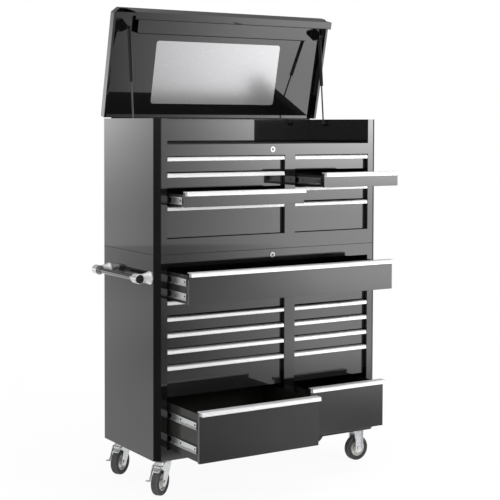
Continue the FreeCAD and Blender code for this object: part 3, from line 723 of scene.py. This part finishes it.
def brake(node, wheel_node):
    """Pin, shoe over the tread and a pressed lever that comes out beside the wheel."""
    pin, across = joint_place(node)
    hub, _ = joint_place(wheel_node)
    outward = across.cross(Vector((0, 0, 1)))
    if outward.dot(pin - hub) < 0:
        outward = -outward

    def at(u, v, z):
        return hub + outward * u + across * v + Vector((0, 0, z))

    def plate(bm, outline, v0, v1):
        low = [bm.verts.new(at(u, v0, z)) for u, z in outline]
        high = [bm.verts.new(at(u, v1, z)) for u, z in outline]
        bm.faces.new(low)
        bm.faces.new(high)
        for i in range(len(outline)):
            j = (i + 1) % len(outline)
            bm.faces.new((low[i], low[j], high[j], high[i]))

    pin_u, pin_z = (pin - hub).dot(outward), pin.z - hub.z
    start = math.degrees(math.atan2(pin_z, pin_u))
    inner = WHEEL_R + SHOE_GAP
    outer = inner + BRAKE_T
    bm = bmesh.new()
    shoe = arc(0, 0, inner, start, start - SHOE_ARC, steps=10)
    shoe += arc(0, 0, outer, start - SHOE_ARC, start, steps=10)
    plate(bm, shoe, -BRAKE_W / 2, BRAKE_W / 2)
    sleeve = [(BRAKE_PIN_R, -BRAKE_W / 2), (BRAKE_HUB_R, -BRAKE_W / 2), (BRAKE_HUB_R, BRAKE_W / 2),
              (BRAKE_PIN_R, BRAKE_W / 2)]
    add_spin(bm, sleeve, pin, across, steps=32)
    head = BRAKE_OUT + BRAKE_T
    ear = [(0.0, head), (BRAKE_EAR_R - EAR_ROUND, head), (BRAKE_EAR_R, head - EAR_ROUND),
           (BRAKE_EAR_R, BRAKE_OUT), (BRAKE_PIN_R, BRAKE_OUT)]
    rod = [(r, -t) for r, t in ear] + ear[::-1]
    add_turned(bm, rod, pin, across, steps=32)
    lever = [(pin_u + u, pin_z + z) for u, z in LEVER_TOP] + LEVER_ARM
    plate(bm, lever, -head, -BRAKE_OUT)
    plate(bm, FOOT_TAB, -head - TAB_LEN, -BRAKE_OUT)
    piece = finish_piece(link_mesh(node + "_lever", bm), FORK, node)
    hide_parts(node)


brake("brake_pedal_front", "wheel_front_left")
brake("brake_pedal_rear", "wheel_rear_left")


# Stage, light and camera

# Brightness of the studio round the object, as gloss shows it, by azimuth: 0 is the front,
# positive to the right. Floor beside the object, floor a few metres off, floor far off, and
# the glow along the horizon.
FLOOR_NEAR = [(-180, 0.9), (-156, 0.8), (-148, 0.62), (-136, 0.62), (-127, 0.6), (-100, 0.7),
              (-76, 0.7), (-68, 0.02), (-49, 0.02), (-40, 0.7), (-25, 0.5), (-12, 0.2), (3, 0.25),
              (13, 0.4), (24, 0.55), (32, 0.5), (42, 0.35), (49, 0.5), (70, 1.2), (92, 1.0),
              (104, 0.1), (130, 0.1), (142, 0.8), (180, 0.9)]
FLOOR_MID = [(-180, 1.0), (-156, 0.9), (-150, 0.72), (-143, 0.5), (-130, 0.48), (-100, 0.8),
             (-74, 0.8), (-66, 0.02), (-50, 0.02), (-41, 0.8), (-25, 0.5), (0, 0.12), (12, 0.16),
             (20, 0.22), (24, 0.6), (27, 0.8), (30, 1.0), (33, 1.35), (36, 1.7), (40, 1.8),
             (50, 1.9), (75, 2.0), (92, 1.4), (104, 0.1), (130, 0.1), (142, 0.8), (180, 1.0)]
FLOOR_FAR = [(-180, 1.0), (-158, 1.0), (-154, 0.9), (-151, 0.52), (-146, 0.4), (-120, 0.6),
             (-100, 1.0), (-73, 1.0), (-65, 0.02), (-50, 0.02), (-42, 1.0), (-25, 0.5), (5, 0.1),
             (20, 0.26), (26, 0.5), (29, 0.9), (32, 1.65), (34, 2.2), (37, 2.5), (41, 2.6),
             (50, 2.6), (75, 2.6), (92, 1.6), (104, 0.1), (130, 0.1), (142, 0.8), (180, 1.0)]
GLOW = [(-180, 1.4), (-158, 1.6), (-154.6, 1.35), (-152.5, 0.4), (-149, 0.2), (-100, 0.6),
        (-73, 0.6), (-65, 0.0), (15, 0.0), (26, 0.0), (29, 0.35), (31.5, 1.5), (34, 3.2),
        (38, 4.2), (50, 4.0), (75, 2.0), (92, 0.8), (104, 0), (130, 0), (142, 0.6), (180, 1.4)]
CEILING = [(-180, 0.3), (-160, 0.25), (-148, 0.03), (-132, 1.2), (-76, 1.3), (-66, 0.05),
           (-48, 0.05), (-38, 0.7), (-15, 0.4), (0, 0.04), (45, 0.04), (75, 0.8), (110, 1.0),
           (132, 0.3), (146, 0.05), (160, 0.25), (180, 0.3)]
# Share of the glow, and of all the light, by height: the sine of the elevation
GLOW_HEIGHT = [(-0.2, 0), (-0.07, 0.02), (-0.05, 0.16), (-0.033, 0.38), (-0.016, 0.64), (0, 1),
               (0.03, 0.8), (0.08, 0.25), (0.12, 0), (0.2, 0)]
WALL_HEIGHT = [(-1, 1), (0.085, 1), (0.12, 0.4), (0.16, 0.08), (0.2, 0), (1, 0)]
CEILING_HEIGHT = [(-1, 0), (0.1, 0), (0.2, 1), (0.7, 1), (0.85, 0.9), (1, 0.9)]
ZENITH_HEIGHT = [(-1, 0), (0.55, 0), (0.8, 0.4), (1, 0.45)]
# Floor disc, the rings of distance in which its levels change, its level under the object, and
# how much of the shaded floor the camera sees there. DIFFUSE_LEVEL lights all but the gloss.
FLOOR_RADIUS = 12.0
FLOOR_DROP = 0.0005
FLOOR_RINGS = ((0.75, 1.0), (1.6, 4.2), (5.5, 9.5))
FLOOR_UNDER = 1.15
SHADOW_SHARE = 0.06
DIFFUSE_LEVEL = 0.7


def level_ramp(tree, value, levels, smoothing="LINEAR"):
    """Level at a place, from (place, level) pairs."""
    low, high = levels[0][0], levels[-1][0]
    place = tree.add("ShaderNodeMapRange")
    place.inputs["From Min"].default_value = low
    place.inputs["From Max"].default_value = high
    tree.link(value, place.inputs["Value"])
    ramp = tree.add("ShaderNodeValToRGB")
    ramp.color_ramp.interpolation = smoothing
    stops = ramp.color_ramp.elements
    stops.remove(stops[1])
    brightest = max(level for _, level in levels)
    for n, (at, level) in enumerate(levels):
        where = (at - low) / (high - low)
        stop = stops[0] if n == 0 else stops.new(where)
        stop.position = where
        shade = level / brightest
        stop.color = (shade, shade, shade, 1)
    tree.link(place.outputs["Result"], ramp.inputs["Fac"])
    return tree.times(ramp.outputs["Color"], brightest)


def round_about(tree, vector, *tables):
    """Levels of several tables at the azimuth of a vector, and the vector's height."""
    split = tree.add("ShaderNodeSeparateXYZ")
    tree.link(vector, split.inputs[0])
    back = tree.times(split.outputs["Y"], -1.0)
    azimuth = tree.math("ARCTAN2", split.outputs["X"], back)
    degrees = tree.times(azimuth, 180 / math.pi)
    levels = [level_ramp(tree, degrees, table, "B_SPLINE") for table in tables]
    return levels, split.outputs["Z"]


def between(tree, distance, ring, inner, outer):
    """Level that goes from inner to outer across a ring of distances."""
    share = tree.add("ShaderNodeMapRange", interpolation_type="SMOOTHSTEP")
    share.inputs["From Min"].default_value = ring[0]
    share.inputs["From Max"].default_value = ring[1]
    tree.link(distance, share.inputs["Value"])
    level = tree.add("ShaderNodeMix", data_type="FLOAT")
    tree.link(share.outputs["Result"], level.inputs[0])
    for value, socket in ((inner, level.inputs[2]), (outer, level.inputs[3])):
        if isinstance(value, float):
            socket.default_value = value
        else:
            tree.link(value, socket)
    return level.outputs[0]


def stage_floor():
    """Round pale floor: white to the camera but for the object's shadow; to gloss it glows with
    painted studio light and shade that change with azimuth and distance.
    """
    bm = bmesh.new()
    bmesh.ops.create_circle(bm, cap_ends=True, segments=128, radius=FLOOR_RADIUS)
    obj = link_mesh("floor", bm)
    obj.location.z = -FLOOR_DROP
    material = bpy.data.materials.new("pale_floor")
    material.use_nodes = True
    tree = Nodes(material.node_tree)
    place = tree.add("ShaderNodeNewGeometry").outputs["Position"]
    (near, mid, far), _ = round_about(tree, place, FLOOR_NEAR, FLOOR_MID, FLOOR_FAR)
    length = tree.add("ShaderNodeVectorMath", operation="LENGTH")
    tree.link(place, length.inputs[0])
    distance = length.outputs["Value"]
    # Painted light and shade that gloss sees: a level under the object, then near, mid and far
    # levels by azimuth
    level = between(tree, distance, FLOOR_RINGS[0], FLOOR_UNDER, near)
    level = between(tree, distance, FLOOR_RINGS[1], level, mid)
    level = between(tree, distance, FLOOR_RINGS[2], level, far)
    painted_sweep = tree.add("ShaderNodeEmission")
    tree.link(level, painted_sweep.inputs["Strength"])
    white = tree.add("ShaderNodeEmission")
    white.inputs["Strength"].default_value = 1.0
    diffuse = tree.add("ShaderNodeBsdfDiffuse")
    grain = tree.noise(30.0, 3.0)
    tree.link(tree.blend(grain, (0.84, 0.84, 0.84), (0.88, 0.88, 0.88)), diffuse.inputs["Color"])
    paths = tree.add("ShaderNodeLightPath")
    seen = tree.math("MAXIMUM", paths.outputs["Is Camera Ray"],
                     paths.outputs["Is Transmission Ray"])
    plain = between(tree, distance, FLOOR_RINGS[1], 1 - SHADOW_SHARE, 1.0)
    bare = tree.math("MULTIPLY", seen, plain)
    shown = tree.mix_shader(bare, diffuse.outputs[0], white.outputs[0])
    shown = tree.mix_shader(paths.outputs["Is Glossy Ray"], shown, painted_sweep.outputs[0])
    out = tree.add("ShaderNodeOutputMaterial")
    tree.link(shown, out.inputs["Surface"])
    obj.data.materials.append(material)


def world():
    """White for the camera, a plain level for diffuse light, the soft studio for gloss."""
    room = bpy.data.worlds.new("studio")
    bpy.context.scene.world = room
    room.use_nodes = True
    tree = Nodes(room.node_tree)
    coords = tree.add("ShaderNodeTexCoord")
    tables, height = round_about(tree, coords.outputs["Generated"], FLOOR_FAR, GLOW, CEILING)
    around, glow, above = tables
    lit = tree.math("MULTIPLY", glow, level_ramp(tree, height, GLOW_HEIGHT))
    lit = tree.math("ADD", around, lit)
    lit = tree.math("MULTIPLY", lit, level_ramp(tree, height, WALL_HEIGHT))
    above = tree.math("MULTIPLY", above, level_ramp(tree, height, CEILING_HEIGHT))
    lit = tree.math("ADD", lit, above)
    lit = tree.math("ADD", lit, level_ramp(tree, height, ZENITH_HEIGHT))
    gloss = tree.add("ShaderNodeBackground")
    tree.link(lit, gloss.inputs["Strength"])
    plain = tree.add("ShaderNodeBackground")
    plain.inputs["Strength"].default_value = DIFFUSE_LEVEL
    white = tree.add("ShaderNodeBackground")
    white.inputs["Strength"].default_value = 1.0
    for background in (gloss, plain, white):
        background.inputs["Color"].default_value = (1, 1, 1, 1)
    paths = tree.add("ShaderNodeLightPath")
    shown = tree.mix_shader(paths.outputs["Is Glossy Ray"], plain.outputs[0], gloss.outputs[0])
    seen = tree.math("MAXIMUM", paths.outputs["Is Camera Ray"],
                     paths.outputs["Is Transmission Ray"])
    shown = tree.mix_shader(seen, shown, white.outputs[0])
    out = tree.add("ShaderNodeOutputWorld")
    tree.link(shown, out.inputs["Surface"])


def softbox(name, at, target, size, power):
    """Area lamp turned to its target; gloss shows the studio's levels, not the lamp."""
    lamp = bpy.data.lights.new(name, "AREA")
    lamp.shape = "RECTANGLE"
    lamp.size, lamp.size_y = size
    lamp.energy = power
    obj = bpy.data.objects.new(name, lamp)
    obj.location = at
    obj.rotation_euler = (Vector(target) - Vector(at)).to_track_quat("-Z", "Y").to_euler()
    obj.visible_glossy = False
    bpy.context.scene.collection.objects.link(obj)


def camera():
    """Camera at the photograph's viewing angle."""
    data = bpy.data.cameras.new("camera")
    data.sensor_width = 36.0
    data.lens = CAM_LENS
    data.shift_y = CAM_SHIFT_Y
    data.clip_end = 100.0
    obj = bpy.data.objects.new("camera", data)
    forward = Vector((math.sin(CAM_YAW) * math.cos(CAM_PITCH),
                      math.cos(CAM_YAW) * math.cos(CAM_PITCH), -math.sin(CAM_PITCH)))
    turn = forward.to_track_quat("-Z", "Y").to_matrix() @ Matrix.Rotation(CAM_ROLL, 3, "Z")
    obj.matrix_world = Matrix.Translation(CAM_AT) @ turn.to_4x4()
    bpy.context.scene.collection.objects.link(obj)
    bpy.context.scene.camera = obj


stage_floor()
world()
softbox("key", at=(2.6, -4.2, 3.2), target=(0, 0, 1.1), size=(2.4, 2.4), power=150)
softbox("top", at=(0, -0.6, 4.6), target=(0, 0, 1.2), size=(3.0, 2.4), power=120)
camera()
bpy.context.scene.view_settings.view_transform = "Standard"
